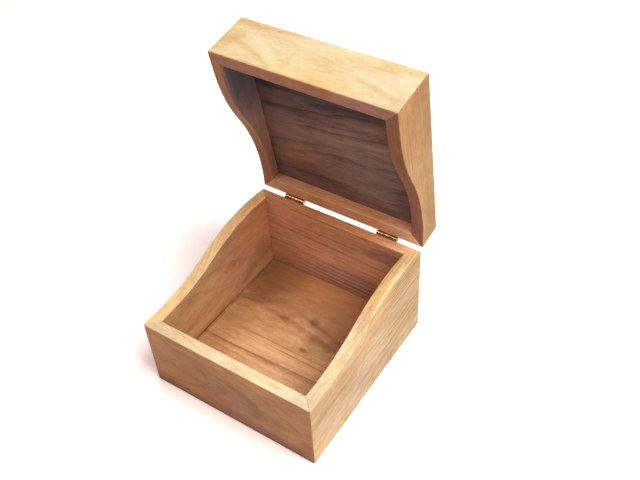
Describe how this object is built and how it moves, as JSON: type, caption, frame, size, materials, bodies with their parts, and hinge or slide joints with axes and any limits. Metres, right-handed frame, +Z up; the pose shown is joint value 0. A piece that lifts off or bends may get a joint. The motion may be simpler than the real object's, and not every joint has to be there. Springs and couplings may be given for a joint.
{
  "type": "hinged wooden box",
  "caption": "Small near-square wooden keepsake box: low-fronted base and matching lid parted along an S-curve, hinged at the back and standing open.",
  "frame": {"origin": "on the table, at the middle of the footprint of the box as it stands open", "axes": "+X to the right seen from the front, +Y to the back, +Z up; the hinge line runs along X"},
  "size_m": [0.12, 0.1444, 0.1945],
  "materials": {
    "wall_wood": "eased edges, thin clear satin finish over open grain",
    "panel_wood": "eased edges, thin clear satin finish over open grain",
    "hinge_brass": "plated sheet, slightly dulled",
    "pin_brass": "drawn wire, slightly dulled",
    "screw_brass": "turned, slotted heads"
  },
  "bodies": {
    "base": {"base_front_wall": "wall_wood", "base_back_wall": "wall_wood", "base_left_wall": "wall_wood", "base_right_wall": "wall_wood", "base_floor_panel": "panel_wood", "left_hinge_base_leaf": "hinge_brass", "left_hinge_pin": "pin_brass", "left_hinge_base_screws": "screw_brass", "right_hinge_base_leaf": "hinge_brass", "right_hinge_pin": "pin_brass", "right_hinge_base_screws": "screw_brass"},
    "lid": {"lid_front_wall": "wall_wood", "lid_back_wall": "wall_wood", "lid_left_wall": "wall_wood", "lid_right_wall": "wall_wood", "lid_top_panel": "panel_wood", "left_hinge_lid_leaf": "hinge_brass", "left_hinge_lid_screws": "screw_brass", "right_hinge_lid_leaf": "hinge_brass", "right_hinge_lid_screws": "screw_brass"}
  },
  "joints": [
    {"name": "lid_hinge", "type": "hinge", "parent": "base", "child": "lid", "pos_m": [0, 0.05445, 0.06668], "axis": [-1, 0, 0], "range_deg": [-81, 99]}
  ]
}
